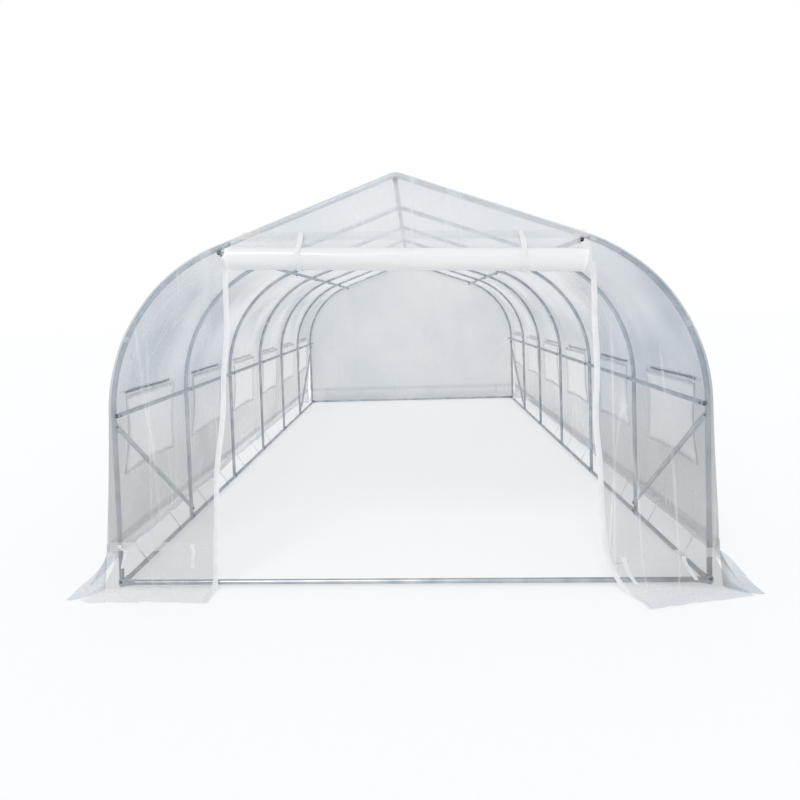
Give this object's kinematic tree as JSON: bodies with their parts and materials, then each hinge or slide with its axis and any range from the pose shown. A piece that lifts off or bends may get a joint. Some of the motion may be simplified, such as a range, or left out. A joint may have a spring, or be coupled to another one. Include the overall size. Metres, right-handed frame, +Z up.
{
  "type": "polytunnel greenhouse",
  "caption": "walk-in polytunnel greenhouse: galvanised tube hoops with long purlins under a translucent film cover, rolled-up door, mesh side windows and ground skirts",
  "frame": {"origin": "on the ground, midway between the two ends and the two sides", "axes": "X across the tunnel, Y along it with the door end at -Y and the closed end at +Y, Z up"},
  "size_m": [3.4706, 6.4506, 2.0705],
  "materials": {
    "frame_tube": "galvanised steel tube, dull silver",
    "brace_tube": "galvanised steel tube, paler",
    "film": "translucent polyethylene film with soft creases",
    "back_film": "woven white polyethylene, more opaque",
    "window_mesh": "fine white insect mesh",
    "rolled_film": "rolled film, nearly white",
    "webbing": "white woven tape"
  },
  "bodies": {
    "root": {"left_posts": "frame_tube", "right_posts": "frame_tube", "left_bows": "frame_tube", "right_bows": "frame_tube", "left_rafters": "frame_tube", "right_rafters": "frame_tube", "ridge_elbows": "frame_tube", "ridge_purlin": "frame_tube", "left_shoulder_purlin": "frame_tube", "right_shoulder_purlin": "frame_tube", "left_waist_rail": "frame_tube", "right_waist_rail": "frame_tube", "left_base_rail": "frame_tube", "right_base_rail": "frame_tube", "front_sill": "frame_tube", "back_sill": "frame_tube", "front_braces": "brace_tube", "back_braces": "brace_tube", "left_wall_film": "film", "right_wall_film": "film", "left_bow_film": "film", "right_bow_film": "film", "left_roof_film": "film", "right_roof_film": "film", "front_gable_film": "film", "front_left_film": "film", "front_right_film": "film", "left_skirt": "film", "right_skirt": "film", "front_left_skirt": "film", "front_right_skirt": "film", "back_wall_film": "back_film", "back_skirt": "back_film", "left_window_meshes": "window_mesh", "right_window_meshes": "window_mesh", "left_window_flaps": "rolled_film", "right_window_flaps": "rolled_film", "door_roll": "rolled_film", "door_straps": "webbing", "left_zip_tape": "webbing", "right_zip_tape": "webbing", "side_hem_bands": "webbing", "front_hem_bands": "webbing", "back_hem_band": "webbing", "hem_ties": "webbing"}
  },
  "joints": []
}
